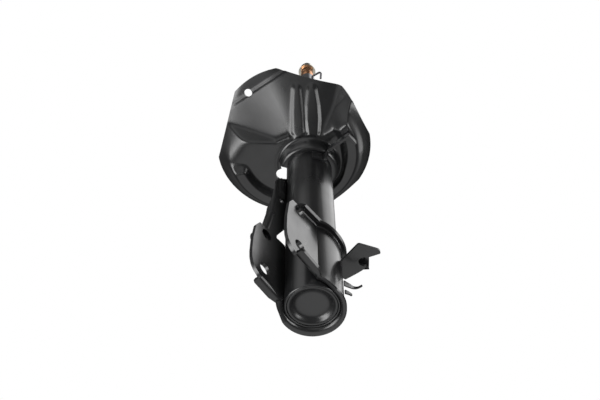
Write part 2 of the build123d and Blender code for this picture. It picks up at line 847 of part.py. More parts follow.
write("outer_tube", outer_tube())
write("base_cap", base_cap())
write("inner_cylinder", inner_cylinder())
write("base_valve_body", base_valve_body())
write("base_valve_discs", base_valve_stack())
write("base_check_plate", check_plate())
write("base_valve_pin", base_valve_pin())
write("rod_guide", rod_guide())
write("guide_bush", guide_bush())
write("guide_o_ring", guide_o_ring())
write("rod_seal", rod_seal())
write("seal_washer", seal_washer())
write("knuckle_bracket", knuckle_bracket())
write("bracket_weld_nut", bracket_weld_nut())
write("side_gusset", side_gusset())
write("spring_seat", spring_seat())
write("upper_line_bracket", upper_line_bracket())
write("hose_bracket", hose_bracket())
write("sensor_clip", sensor_clip())
write("seat_wire_clip", seat_wire_clip())
write("piston_rod", piston_rod())
write("piston", piston())
write("piston_band", piston_band())
write("intake_disc", ring(piston_radius - 2.5, stud_hole(), piston_top_z, intake_top_z))
write("stop_washer", ring(stop_washer_diameter / 2, stud_hole(), intake_top_z, rod_seat_z))
write("rebound_discs", rebound_discs())
write("piston_nut", piston_nut())
write("rebound_stop", ring(rebound_stop_diameter / 2, rod_hole, stop_base_z, bumper_base_z))
write("rebound_bumper", ring(bumper_diameter / 2, rod_hole, bumper_base_z, bumper_top_z))
write("stud_spacer", stud_spacer())
write("top_nut", top_nut())
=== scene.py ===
import bmesh
import bpy
import json
import math
from mathutils import Matrix, Vector


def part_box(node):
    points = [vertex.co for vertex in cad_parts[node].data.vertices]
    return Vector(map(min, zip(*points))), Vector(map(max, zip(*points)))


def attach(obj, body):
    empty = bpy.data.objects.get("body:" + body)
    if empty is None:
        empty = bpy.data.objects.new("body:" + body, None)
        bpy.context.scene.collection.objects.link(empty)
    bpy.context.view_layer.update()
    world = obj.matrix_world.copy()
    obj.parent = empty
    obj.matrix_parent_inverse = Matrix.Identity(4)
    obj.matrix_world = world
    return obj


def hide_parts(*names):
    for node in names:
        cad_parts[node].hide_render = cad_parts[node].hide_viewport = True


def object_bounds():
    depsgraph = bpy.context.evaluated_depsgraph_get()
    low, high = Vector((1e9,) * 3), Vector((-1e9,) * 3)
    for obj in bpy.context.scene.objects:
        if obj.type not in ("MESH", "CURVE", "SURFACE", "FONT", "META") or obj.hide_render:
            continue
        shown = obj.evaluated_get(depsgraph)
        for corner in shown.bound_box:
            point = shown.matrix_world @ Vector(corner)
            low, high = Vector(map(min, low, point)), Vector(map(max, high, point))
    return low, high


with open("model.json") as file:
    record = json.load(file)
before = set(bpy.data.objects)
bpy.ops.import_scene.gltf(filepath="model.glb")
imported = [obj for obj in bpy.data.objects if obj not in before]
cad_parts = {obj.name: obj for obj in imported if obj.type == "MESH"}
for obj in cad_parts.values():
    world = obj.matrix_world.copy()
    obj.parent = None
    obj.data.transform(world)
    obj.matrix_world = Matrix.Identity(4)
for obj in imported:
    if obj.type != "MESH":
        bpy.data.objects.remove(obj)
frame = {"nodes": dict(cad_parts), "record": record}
cad_low, cad_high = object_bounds()

# Sizes in this script are millimetres. Heights are drawn from the lower end of the outer tube,
# and place() turns them into the frame's metres.
MM = 0.001
TUBE_END_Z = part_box("outer_tube")[0].z
TUBE_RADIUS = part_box("outer_tube")[1].x / MM
BODY = "strut_body"
UP = (0.0, 0.0, 1.0)
ACROSS = (0.0, 1.0, 0.0)


def place(x, y, z):
    """A point given in millimetres from the tube's lower end, in the frame's metres."""
    return Vector((x * MM, y * MM, z * MM + TUBE_END_Z))


# Curves and steps

def clamp(value):
    """The value held between 0 and 1."""
    return max(0.0, min(1.0, value))


def smooth(value, low, high):
    """Smooth step from 0 at low to 1 at high."""
    t = clamp((value - low) / (high - low))
    return t * t * (3 - 2 * t)


def plateau(value, rise, fall):
    """Smooth rise from 0 to 1 over one range, and back to 0 over a later one."""
    return smooth(value, *rise) * (1 - smooth(value, *fall))


def soft_max(a, b, bend):
    """The larger of two heights, with the corner between them rounded over a bend."""
    return (a + b + math.sqrt((a - b) ** 2 + bend * bend)) / 2


def soft_min(a, b, bend):
    """The smaller of two heights, with the corner between them rounded over a bend."""
    return (a + b - math.sqrt((a - b) ** 2 + bend * bend)) / 2


def soft_ramp(t, bend):
    """Ramp from 0 to 1 with short rounded ends, as a press leaves a step in sheet metal."""
    return clamp(soft_max(t, 0.0, bend) - soft_max(t - 1, 0.0, bend))


def along(value, stops):
    """Value interpolated along (position, result) stops."""
    if value <= stops[0][0]:
        return stops[0][1]
    for (a, low), (b, high) in zip(stops, stops[1:]):
        if value <= b:
            return low + (high - low) * (value - a) / (b - a)
    return stops[-1][1]


def curve(value, stops):
    """Value interpolated along (position, result) stops, with its corners rounded."""
    reach = 5.0
    steps = 4
    samples = [along(value + reach * k / steps, stops) for k in range(-steps, steps + 1)]
    return sum(samples) / len(samples)


def between(start, end, count):
    """Evenly spaced values between two ends, without the ends."""
    return [start + (end - start) * k / (count + 1) for k in range(1, count + 1)]


def quarter_turn(steps):
    """Evenly spaced angles from 0 to a right angle."""
    return [math.pi / 2 * k / steps for k in range(steps + 1)]


# Materials

def new_material(name):
    """A node material, its node tree and its shader."""
    material = bpy.data.materials.new(name)
    material.use_nodes = True
    tree = material.node_tree
    return material, tree, tree.nodes["Principled BSDF"]


def noise(tree, scale, detail, stretch=None):
    """Noise in object coordinates, in features per metre, with an optional stretch of each axis."""
    coords = tree.nodes.new("ShaderNodeTexCoord")
    node = tree.nodes.new("ShaderNodeTexNoise")
    node.inputs["Scale"].default_value = scale
    node.inputs["Detail"].default_value = detail
    if stretch:
        mapping = tree.nodes.new("ShaderNodeMapping")
        mapping.inputs["Scale"].default_value = stretch
        tree.links.new(coords.outputs["Object"], mapping.inputs["Vector"])
        tree.links.new(mapping.outputs["Vector"], node.inputs["Vector"])
    else:
        tree.links.new(coords.outputs["Object"], node.inputs["Vector"])
    return node.outputs["Fac"]


def ramp(tree, source, stops):
    """Colour ramp over a factor, from (position, colour) stops."""
    node = tree.nodes.new("ShaderNodeValToRGB")
    while len(node.color_ramp.elements) < len(stops):
        node.color_ramp.elements.new(1.0)
    for element, (position, color) in zip(node.color_ramp.elements, stops):
        element.position = position
        element.color = (*color, 1.0)
    tree.links.new(source, node.inputs["Fac"])
    return node.outputs["Color"]


def spread(tree, source, low, high, from_low=0.3, from_high=0.7):
    """Map a factor onto a range of values."""
    node = tree.nodes.new("ShaderNodeMapRange")
    node.inputs["From Min"].default_value = from_low
    node.inputs["From Max"].default_value = from_high
    node.inputs["To Min"].default_value = low
    node.inputs["To Max"].default_value = high
    tree.links.new(source, node.inputs["Value"])
    return node.outputs["Result"]


def bump(tree, shader, layers):
    """Chain of bumps from (height, strength, distance) layers."""
    normal = None
    for height, strength, distance in layers:
        node = tree.nodes.new("ShaderNodeBump")
        node.inputs["Strength"].default_value = strength
        node.inputs["Distance"].default_value = distance
        tree.links.new(height, node.inputs["Height"])
        if normal:
            tree.links.new(normal, node.inputs["Normal"])
        normal = node.outputs["Normal"]
    tree.links.new(normal, shader.inputs["Normal"])


def black_paint():
    """Semi-gloss black dip coat: faint orange peel, a little dust and uneven gloss."""
    material, tree, shader = new_material("black_paint")
    color = ramp(tree, noise(tree, 55, 6), [(0.35, (0.009, 0.0094, 0.0102)), (0.7, (0.016, 0.0165, 0.0175))])
    dust = spread(tree, noise(tree, 900, 3), 0.0, 0.06, 0.62, 0.75)
    mix = tree.nodes.new("ShaderNodeMix")
    mix.data_type = "RGBA"
    mix.inputs["B"].default_value = (0.18, 0.175, 0.165, 1)
    tree.links.new(dust, mix.inputs["Factor"])
    tree.links.new(color, mix.inputs["A"])
    tree.links.new(mix.outputs["Result"], shader.inputs["Base Color"])
    tree.links.new(spread(tree, noise(tree, 38, 5), 0.26, 0.38), shader.inputs["Roughness"])
    shader.inputs["Specular IOR Level"].default_value = 0.9
    shader.inputs["Coat Weight"].default_value = 0.6
    shader.inputs["Coat Roughness"].default_value = 0.14
    bump(tree, shader, [(noise(tree, 160, 2), 0.10, 0.0005), (noise(tree, 1100, 3), 0.10, 0.0001)])
    return material


def plated(name, dark, light, roughness, scale=260, stretch=None, strength=0.08):
    """Plated or machined metal, with uneven tone, gloss and fine tool marks."""
    material, tree, shader = new_material(name)
    shader.inputs["Metallic"].default_value = 1.0
    color = ramp(tree, noise(tree, scale, 5, stretch), [(0.3, dark), (0.7, light)])
    tree.links.new(color, shader.inputs["Base Color"])
    rough = spread(tree, noise(tree, scale * 2, 4, stretch), roughness * 0.75, roughness * 1.3)
    tree.links.new(rough, shader.inputs["Roughness"])
    bump(tree, shader, [(noise(tree, scale * 6, 3, stretch), strength, 0.0001)])
    return material


def soft(name, color, roughness):
    """Rubber, lining or sintered iron: matt, with fine mottling."""
    material, tree, shader = new_material(name)
    dark = tuple(0.7 * c for c in color)
    tone = ramp(tree, noise(tree, 700, 5), [(0.3, dark), (0.7, color)])
    tree.links.new(tone, shader.inputs["Base Color"])
    rough = spread(tree, noise(tree, 300, 3), roughness - 0.08, roughness + 0.06)
    tree.links.new(rough, shader.inputs["Roughness"])
    bump(tree, shader, [(noise(tree, 2200, 3), 0.25, 0.0001)])
    return material


TURNED = (1.0, 1.0, 14.0)
materials = {
    "black_paint": black_paint(),
    "rod_chrome": plated("rod_chrome", (0.60, 0.60, 0.62), (0.74, 0.74, 0.76), 0.10, 90, TURNED, 0.03),
    "yellow_zinc": plated("yellow_zinc", (0.66, 0.28, 0.13), (0.84, 0.46, 0.24), 0.26, 60, TURNED, 0.02),
    "bright_zinc": plated("bright_zinc", (0.72, 0.69, 0.58), (0.90, 0.87, 0.76), 0.26, 120, None, 0.03),
    "spring_steel": plated("spring_steel", (0.16, 0.16, 0.17), (0.30, 0.30, 0.31), 0.34),
    "plain_steel": plated("plain_steel", (0.40, 0.40, 0.41), (0.56, 0.56, 0.57), 0.28, 120, TURNED),
    "sintered_iron": soft("sintered_iron", (0.13, 0.13, 0.135), 0.55),
    "low_friction_lining": soft("low_friction_lining", (0.25, 0.21, 0.16), 0.5),
    "seal_rubber": soft("seal_rubber", (0.028, 0.028, 0.03), 0.62),
}
slot_of = {row["node"]: row["material_slot"] for row in frame["record"]["subparts"]}


def dress(item, slot):
    """Give an object the material of one of the record's slots."""
    item.data.materials.clear()
    item.data.materials.append(materials[slot])


def break_edges(item, width, segments=2, angle=32):
    """Round the edges of a piece, as tumbling and paint leave them."""
    bevel = item.modifiers.new("edges", "BEVEL")
    bevel.width = width * MM
    bevel.segments = segments
    bevel.limit_method = "ANGLE"
    bevel.angle_limit = math.radians(angle)
    bevel.harden_normals = True


def dress_nodes():
    """Materials and broken edges for the CAD pieces that show as they are."""
    for name, item in frame["nodes"].items():
        dress(item, slot_of[name])
        weld = item.modifiers.new("join", "WELD")
        weld.merge_threshold = 1e-6
        break_edges(item, 0.35)


# Mesh helpers

def new_object(name, mesh):
    """An object in the scene, made from a bmesh that is used up."""
    data = bpy.data.meshes.new(name)
    mesh.to_mesh(data)
    mesh.free()
    item = bpy.data.objects.new(name, data)
    bpy.context.scene.collection.objects.link(item)
    return item


def finish_piece(name, mesh, body, slot, replaces, smooth_angle):
    """Turn a bmesh into a dressed piece that rides on a body."""
    bmesh.ops.remove_doubles(mesh, verts=mesh.verts, dist=1e-6)
    bmesh.ops.recalc_face_normals(mesh, faces=mesh.faces)
    item = new_object(name, mesh)
    for face in item.data.polygons:
        face.use_smooth = True
    item.data.set_sharp_from_angle(angle=math.radians(smooth_angle))
    dress(item, slot)
    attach(item, body)
    if replaces:
        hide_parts(*replaces)
    return item


def grid_mesh(rows, closed_across=False, closed_along=False, caps=False):
    """A bmesh of quads over rows of points, closed round either way if asked."""
    mesh = bmesh.new()
    grid = [[mesh.verts.new(point) for point in row] for row in rows]
    count = len(rows[0])
    last_row = len(grid) if closed_along else len(grid) - 1
    last_column = count if closed_across else count - 1
    for i in range(last_row):
        for j in range(last_column):
            k = (j + 1) % count
            n = (i + 1) % len(grid)
            mesh.faces.new((grid[i][j], grid[i][k], grid[n][k], grid[n][j]))
    if caps:
        mesh.faces.new(grid[0][::-1])
        mesh.faces.new(grid[-1])
    return mesh


def apply_modifiers(item):
    """Replace the mesh by what its modifiers make of it."""
    graph = bpy.context.evaluated_depsgraph_get()
    made = bpy.data.meshes.new_from_object(item.evaluated_get(graph))
    item.modifiers.clear()
    item.data = made


def thicken(item, sheet, toward):
    """Give a surface the thickness of its sheet, on the side that faces a direction."""
    direction = Vector(toward)
    facing = sum(face.normal.dot(direction) for face in item.data.polygons)
    shell = item.modifiers.new("sheet", "SOLIDIFY")
    shell.thickness = sheet * MM
    shell.offset = 1.0 if facing > 0 else -1.0
    apply_modifiers(item)


def combine(item, other, operation):
    """Join another object to a piece or cut it out, and remove that object."""
    step = item.modifiers.new("combine", "BOOLEAN")
    step.object = other
    step.operation = operation
    apply_modifiers(item)
    data = other.data
    bpy.data.objects.remove(other)
    bpy.data.meshes.remove(data)


def drill(item, center, axis, radius, length):
    """Cut a round hole through a piece."""
    mesh = bmesh.new()
    reach = radius * MM
    bmesh.ops.create_cone(mesh, segments=48, radius1=reach, radius2=reach, depth=length * MM, cap_ends=True)
    turn = Vector(UP).rotation_difference(Vector(axis)).to_matrix().to_4x4()
    bmesh.ops.transform(mesh, matrix=Matrix.Translation(center) @ turn, verts=mesh.verts)
    combine(item, new_object("cutter", mesh), "DIFFERENCE")


# Spring seat

SEAT_SHEET = 2.6
SEAT_CENTER = (22.0, -5.0)
SEAT_RADIUS = 88.5
SEAT_FLATS = ((51.5, 80.1), (-35.0, 80.1), (174.0, 85.5), (102.5, 85.5))
SEAT_FLOOR = 244.0
SEAT_INNER = 36.4
SEAT_HOLE = (99.2, -8.3, 283.0)
SEAT_HOLE_RADIUS = 4.5

COLLAR_PROFILE = (
    (25.6, 228.1), (29.6, 228.3), (31.4, 229.3), (32.5, 231.2),
    (33.1, 234.0), (33.5, 237.5), (33.9, 240.6), (34.8, 242.8),
)
COLLAR_TOP = SEAT_FLOOR - 0.3
COLLAR_BLEND = (SEAT_INNER, SEAT_INNER + 5.0)

GROOVE_RADIUS = 67.0
GROOVE_DEPTH = 7.0
GROOVE_INNER_WALL = (GROOVE_RADIUS - 14.0, GROOVE_RADIUS - 5.0)
GROOVE_OUTER_WALL = (GROOVE_RADIUS + 3.0, GROOVE_RADIUS + 13.0)
# Azimuth where the groove ends, the degrees over which it fades, and the degrees past it without one
GROOVE_STOP = -50.0
GROOVE_FADE = 9.0
GROOVE_GAP = 60.0

RIM_RISE = 15.0
RIM_WALL = (GROOVE_RADIUS + 5.0, SEAT_RADIUS + 2.0)

# Sloping walls: a starting point, then the direction in plan, the rise along it and the fall to its right
SHOULDER_START = (72.5, -32.5, SEAT_FLOOR)
SHOULDER = (-35.0, 1.2, 0.37)
SHOULDER_BEND = 9.0
NEAR_WALL_START = (49.4, -12.7, 251.1)
NEAR_WALL = (-41.0, 0.39, 2.4)
NEAR_WALL_BEND = 1.8
HUB_WALL_START = (45.7, 0.0, 250.7)
HUB_WALL = (12.0, 2.2, 0.0)
HUB_WALL_BEND = 1.5
HUB_WALL_END = 6.0
HUB_WALL_CLIMB = 2.2

SECTOR_SLOPE = 0.62
SECTOR_START = 35.0
SECTOR_FLAT_ANGLE = 10.0
SECTOR_BEND = 2.6
SWELL_CENTER = (72.0, 0.0)
SWELL_RISE = 1.1
SWELL_REACH = 26.0

# Wall at the sector's far end: the x of its edge, its height and its slope, each along y
FAR_EDGE = ((34.5, 20.0), (44.0, 24.0), (61.5, 31.0), (84.5, 33.0))
FAR_EDGE_HEIGHT = ((34.5, 245.0), (44.0, 250.5), (61.5, 262.0), (84.5, 264.5))
FAR_WALL_SLOPES = ((34.5, 1.5), (44.0, 1.2), (61.5, 1.9), (84.5, 1.5))
FAR_SLOPE_PAST_EDGE = 1.05
FAR_WALL_LIFT = 0.8
FAR_WALL_BEND = 2.5

FOLD_START = (97.7, -2.2)
FOLD_TURN = math.radians(5.1)
FOLD_FALL = 0.25
FOLD_BEND = 0.8
FOLD_CREASE = 0.7
FOLD_CREASE_WIDTH = 1.7

BEAD_DIRECTION = 37.0
BEAD_OFFSETS = (-11.2, 5.9)
BEAD_WIDTHS = (((34, 8.0), (60, 7.0), (86, 4.6)), ((34, 7.0), (52, 8.6), (66, 8.0), (86, 4.8)))
BEAD_START = 34.0
BEAD_ENDS = (86.5, 86.0)
BEAD_DEPTH = 2.5
BEAD_WALL = 4.0
BEAD_WALL_OUTSIDE = 1.2
BEAD_BEND = 0.12

# Opening in the pan beside the tube, which also cuts the collar
DRAIN = (8.5, -31.5, SEAT_FLOOR)
DRAIN_COLLAR = (17.0, -24.5, 233.0)
DRAIN_RADIUS = 8.2


def ramp_height(x, y, start, direction, rise, fall):
    """Height of a plane that rises along a direction in plan and falls to its right."""
    turn = math.radians(direction)
    dx, dy = x - start[0], y - start[1]
    ahead = dx * math.cos(turn) + dy * math.sin(turn)
    right = dx * math.sin(turn) - dy * math.cos(turn)
    return start[2] + rise * ahead - fall * right


def pan_height(x, y):
    """Underside of the low part of the seat: floor, coil groove, rising rim and shoulder."""
    radius = math.hypot(x - SEAT_CENTER[0], y - SEAT_CENTER[1])
    past_stop = math.degrees(math.atan2(y, x)) - GROOVE_STOP
    groove = smooth(-past_stop, 0.0, GROOVE_FADE) if past_stop < GROOVE_GAP else 1.0
    dip = plateau(radius, GROOVE_INNER_WALL, GROOVE_OUTER_WALL)
    low = SEAT_FLOOR - GROOVE_DEPTH * dip * groove + RIM_RISE * smooth(radius, *RIM_WALL)
    return soft_max(low, ramp_height(x, y, SHOULDER_START, *SHOULDER), SHOULDER_BEND)


def sector_height(x, y):
    """Underside of the raised part: a cone that runs into a flat, between sloping walls, and its fold."""
    apex = SEAT_FLOOR - SECTOR_SLOPE * SECTOR_START
    turn = math.radians(SECTOR_FLAT_ANGLE)
    ahead = x * math.cos(turn) + y * math.sin(turn)
    beside = y * math.cos(turn) - x * math.sin(turn)
    run = ahead if beside < 0 else math.hypot(x, y)
    away = math.hypot(x - SWELL_CENTER[0], y - SWELL_CENTER[1]) / SWELL_REACH
    height = apex + SECTOR_SLOPE * run + SWELL_RISE * (2 * math.exp(-away * away / 2) - 1)
    height = soft_min(height, ramp_height(x, y, NEAR_WALL_START, *NEAR_WALL), NEAR_WALL_BEND)
    climb = HUB_WALL_CLIMB * max(0.0, math.degrees(math.atan2(y, x)) - HUB_WALL_END)
    height = soft_min(height, ramp_height(x, y, HUB_WALL_START, *HUB_WALL) + climb, HUB_WALL_BEND)
    past_edge = x - curve(y, FAR_EDGE)
    slope = curve(y, FAR_WALL_SLOPES) if past_edge < 0 else FAR_SLOPE_PAST_EDGE
    far = curve(y, FAR_EDGE_HEIGHT) + slope * past_edge
    height = soft_min(height, far + FAR_WALL_LIFT, FAR_WALL_BEND)
    past_fold = (x - FOLD_START[0]) * math.cos(FOLD_TURN) + (y - FOLD_START[1]) * math.sin(FOLD_TURN)
    crease = FOLD_CREASE * math.exp(-(past_fold / FOLD_CREASE_WIDTH) ** 2)
    return height - FOLD_FALL * soft_max(past_fold, 0.0, FOLD_BEND) - crease


def bead_share(x, y):
    """Depth of the twin beads at a place, from 0 outside them to 1 on their floors."""
    turn = math.radians(BEAD_DIRECTION)
    run = x * math.cos(turn) + y * math.sin(turn)
    side = y * math.cos(turn) - x * math.sin(turn)
    share = 0.0
    for offset, end, widths in zip(BEAD_OFFSETS, BEAD_ENDS, BEAD_WIDTHS):
        half = along(run, widths)
        past = max(0.0, run - (end - half), (BEAD_START + half) - run)
        distance = math.hypot(side - offset, past)
        share += soft_ramp((half + BEAD_WALL_OUTSIDE - distance) / BEAD_WALL, BEAD_BEND)
    return min(share, 1.0)


def seat_height(x, y):
    """Underside of the stamped seat at a place in plan."""
    height = soft_max(pan_height(x, y), sector_height(x, y), SECTOR_BEND)
    return height - BEAD_DEPTH * bead_share(x, y)


def seat_edge(angle):
    """Distance from the strut axis to the trimmed edge of the seat."""
    ux, uy = math.cos(angle), math.sin(angle)
    cx, cy = SEAT_CENTER
    toward_center = ux * cx + uy * cy
    reach = toward_center + math.sqrt(SEAT_RADIUS ** 2 - (cx * cx + cy * cy - toward_center ** 2))
    for azimuth, distance in SEAT_FLATS:
        nx, ny = math.cos(math.radians(azimuth)), math.sin(math.radians(azimuth))
        toward = ux * nx + uy * ny
        if toward > 0.2:
            reach = min(reach, (distance + cx * nx + cy * ny) / toward)
    return reach


def spring_seat():
    """The stamped seat, from its collar on the tube out to the trimmed edge."""
    rows = []
    around = 600
    steps = 92
    for i in range(around):
        angle = 2 * math.pi * i / around
        ux, uy = math.cos(angle), math.sin(angle)
        row = [place(r * ux, r * uy, z) for r, z in COLLAR_PROFILE]
        edge = seat_edge(angle)
        for j in range(steps + 1):
            r = SEAT_INNER + (edge - SEAT_INNER) * j / steps
            z = seat_height(r * ux, r * uy)
            z += (COLLAR_TOP - z) * (1 - smooth(r, *COLLAR_BLEND))
            row.append(place(r * ux, r * uy, z))
        rows.append(row)
    mesh = grid_mesh(rows, closed_along=True)
    item = finish_piece("pressed_seat", mesh, BODY, "black_paint", ["spring_seat"], 60)
    thicken(item, SEAT_SHEET, UP)
    drill(item, place(*SEAT_HOLE), UP, SEAT_HOLE_RADIUS, 60)
    drill(item, place(*DRAIN), UP, DRAIN_RADIUS, 50)
    drill(item, place(*DRAIN_COLLAR), UP, DRAIN_RADIUS, 20)
    break_edges(item, 0.6, 3, 50)


# Knuckle bracket

BRACKET_SHEET = 3.5
EAR_INNER = 18.65
EAR_OUTER = EAR_INNER + BRACKET_SHEET
EAR_JOINT_GAP = 1.5
FLANGE_END_X = 48.5
TIP_OUTLINE = (
    (12.0, 50.0), (16.0, 56.5), (21.0, 60.2), (28.0, 62.3),
    (37.0, 63.0), (55.0, 62.6), (79.0, 59.8), (87.5, 55.0),
)
TIP_OVERLAP = 0.5
LOW_EDGE = ((-20, -2.0), (2, -1.2), (10, 2.6), (18, 6.6), (30, 8.6), (FLANGE_END_X, 12.0))
HIGH_EDGE = ((-29, 75.0), (-12, 78.2), (2, 82.0), (12, 86.2), (20, 87.5), (60, 87.5))
JOINT_LIFT = 4.0
JOINT_LIFT_RISE = (8.0, 17.0)
JOINT_LIFT_FALL = (27.0, 34.0)

# Widths of the turned-out edges: round the wrap, at the joints of the far and near ear, and on the ears
WRAP_WIDTH = 1.8
WRAP_WIDTH_GAIN = 4.6
WRAP_WIDTH_POWER = 1.3
WRAP_WIDTH_AIM = 219.0
FAR_JOINT_GAIN = 2.4
NEAR_JOINT_GAIN = 0.4
JOINT_RANGE = (6.0, 17.4)
EAR_WIDTH = 7.0
HIGH_WRAP_WIDTH = 5.5
GUSSET_FOOT_X = 31.0

# The edge's inner bend where it is plain and where it is fully turned out, and its other small sizes
PLAIN_BEND = 0.4
TURNED_BEND = 1.5
FULLY_TURNED = 3.0
PLAIN_ROUND = 0.5
EDGE_CUT = 1.5
PLAIN_HEIGHTS = (0.3, 0.35, 0.5)

BOLT_X = 44.7
BOLT_HEIGHTS = (26.5, 77.8)
BOLT_RADIUS = 6.5


def high_edge(x, y):
    """Upper edge of the bracket, which stands higher at the joint of the far ear."""
    lift = plateau(x, JOINT_LIFT_RISE, JOINT_LIFT_FALL) if y < 0 else 0.0
    return along(x, HIGH_EDGE) + JOINT_LIFT * lift


def half_section(edge, sign, width):
    """Half of the sheet's outline at one edge, as (outward distance, height), from inside to outside."""
    sheet = BRACKET_SHEET
    turned = clamp(width / FULLY_TURNED)
    plain = 1 - turned
    bend = PLAIN_BEND + (TURNED_BEND - PLAIN_BEND) * turned
    outer = PLAIN_ROUND + (bend + sheet - PLAIN_BEND - PLAIN_ROUND) * turned
    end = sheet + max(width, 0.01)
    cut = EDGE_CUT * turned
    inner = bend * turned
    corner, shelf, foot = PLAIN_HEIGHTS
    points = [(outer - outer * math.cos(a), outer - outer * math.sin(a)) for a in quarter_turn(6)]
    points.append((end - cut, 0.0))
    points.append((end, cut))
    points.append((end, (sheet - EDGE_CUT) * turned + corner * plain))
    points.append((end - cut, sheet * turned + shelf * plain))
    for a in quarter_turn(6):
        height = sheet * turned + inner - inner * math.cos(a) + foot * plain
        points.append((sheet + inner - inner * math.sin(a), height))
    return [(d, edge + sign * height) for d, height in points]


def section(low, high, low_width, high_width):
    """Closed outline of the sheet from (outward distance, height), with both turned-out edges."""
    lower = half_section(low, 1, low_width)
    upper = half_section(high, -1, high_width)
    outside = [(BRACKET_SHEET, z) for z in between(lower[-1][1], upper[-1][1], 8)]
    inside = [(0.0, z) for z in between(upper[0][1], lower[0][1], 8)]
    return lower + outside + upper[::-1] + inside


def bracket_stations():
    """Plan stations round the bracket: (x, y, outward x, outward y, side)."""
    joint = math.degrees(math.asin(EAR_INNER / TUBE_RADIUS))
    start = TUBE_RADIUS * math.cos(math.radians(joint)) + EAR_JOINT_GAP
    ear = [start, *between(start, FLANGE_END_X, 14), FLANGE_END_X]
    stations = [(x, -EAR_INNER, 0.0, -1.0, -1) for x in reversed(ear)]
    steps = 84
    for i in range(steps + 1):
        a = math.radians(-joint - (360 - 2 * joint) * i / steps)
        ux, uy = math.cos(a), math.sin(a)
        stations.append((TUBE_RADIUS * ux, TUBE_RADIUS * uy, ux, uy, 0))
    stations += [(x, EAR_INNER, 0.0, 1.0, 1) for x in ear]
    return stations


def bracket_widths(x, y, side):
    """Widths of the lower and upper turned-out edges at a station."""
    gain = FAR_JOINT_GAIN if y < 0 else NEAR_JOINT_GAIN
    if side:
        start = (16, WRAP_WIDTH + gain)
        low = along(x, (start, (27, EAR_WIDTH), (FLANGE_END_X - 1.5, EAR_WIDTH), (FLANGE_END_X, 6.0)))
    else:
        aimed = max(0.0, math.cos(math.atan2(y, x) - math.radians(WRAP_WIDTH_AIM)))
        low = WRAP_WIDTH + WRAP_WIDTH_GAIN * aimed ** WRAP_WIDTH_POWER + gain * smooth(x, *JOINT_RANGE)
    end = (FLANGE_END_X - 4, EAR_WIDTH)
    high = along(x, ((0, HIGH_WRAP_WIDTH), (18, EAR_WIDTH), end, (FLANGE_END_X, 3.5)))
    if side < 0:
        high *= 1 - smooth(x, GUSSET_FOOT_X - 5, GUSSET_FOOT_X)
    return low, high


def ear_tip(side):
    """Plain end of an ear beyond the turned-out edge, out to its curved tip."""
    low, high = TIP_OUTLINE[0][0], TIP_OUTLINE[-1][0]
    start = FLANGE_END_X - TIP_OVERLAP
    across = 8
    rows = []
    for z in (low, *between(low, high, 39), high):
        reach = along(z, TIP_OUTLINE) - start
        xs = [start + reach * j / across for j in range(across + 1)]
        inner = [place(x, side * EAR_INNER, z) for x in xs]
        outer = [place(x, side * EAR_OUTER, z) for x in xs]
        rows.append(inner + outer[::-1])
    mesh = grid_mesh(rows, closed_across=True, caps=True)
    bmesh.ops.recalc_face_normals(mesh, faces=mesh.faces)
    return new_object("tip", mesh)


def knuckle_bracket():
    """The formed bracket: wrap, two ears and turned-out edges, in one rounded sheet."""
    gap = 0.02
    rows = []
    for x, y, nx, ny, side in bracket_stations():
        outline = section(along(x, LOW_EDGE), high_edge(x, y), *bracket_widths(x, y, side))
        rows.append([place(x + nx * (d + gap), y + ny * (d + gap), z) for d, z in outline])
    mesh = grid_mesh(rows, closed_across=True, caps=True)
    item = finish_piece("formed_bracket", mesh, BODY, "black_paint", ["knuckle_bracket"], 40)
    for side in (-1, 1):
        combine(item, ear_tip(side), "UNION")
    for z in BOLT_HEIGHTS:
        drill(item, place(BOLT_X, 0, z), ACROSS, BOLT_RADIUS, 120)
    item.data.set_sharp_from_angle(angle=math.radians(40))
    break_edges(item, 0.5, 2, 50)


# Side gusset

GUSSET_SHEET = 3.0
GUSSET_FACE_Y = -EAR_INNER - 0.1
GUSSET_LOW = 87.0
GUSSET_HIGH = 210.6
GUSSET_EDGE = (
    (GUSSET_LOW, 46.0), (92.0, 45.0), (106.0, 42.0), (127.5, 38.0), (155.0, 35.6),
    (175.0, 34.6), (190.0, 33.6), (200.0, 27.0), (211.0, 17.0),
)
GUSSET_ROOT = ((GUSSET_LOW, 30.5), (92.0, 30.0), (114.8, 18.2), (118.0, 16.2), (211.0, 16.2))
GUSSET_LIP = (
    (GUSSET_LOW, 0.5), (92.0, 7.0), (100.0, 10.0), (140.0, 9.0), (155.0, 4.0), (190.0, 0.6), (211.0, 0.4),
)
GUSSET_BEND = 3.5
GUSSET_HOLE = (25.0, -20.0, 158.0)
GUSSET_HOLE_RADIUS = 3.0

# Shallow relief near the gusset's top: its depth, and where it rises and falls along z and x
EMBOSS_DEPTH = 2.2
EMBOSS_Z = ((164.0, 172.0), (196.0, 204.0))
EMBOSS_X = ((17.0, 21.0), (27.0, 31.0))


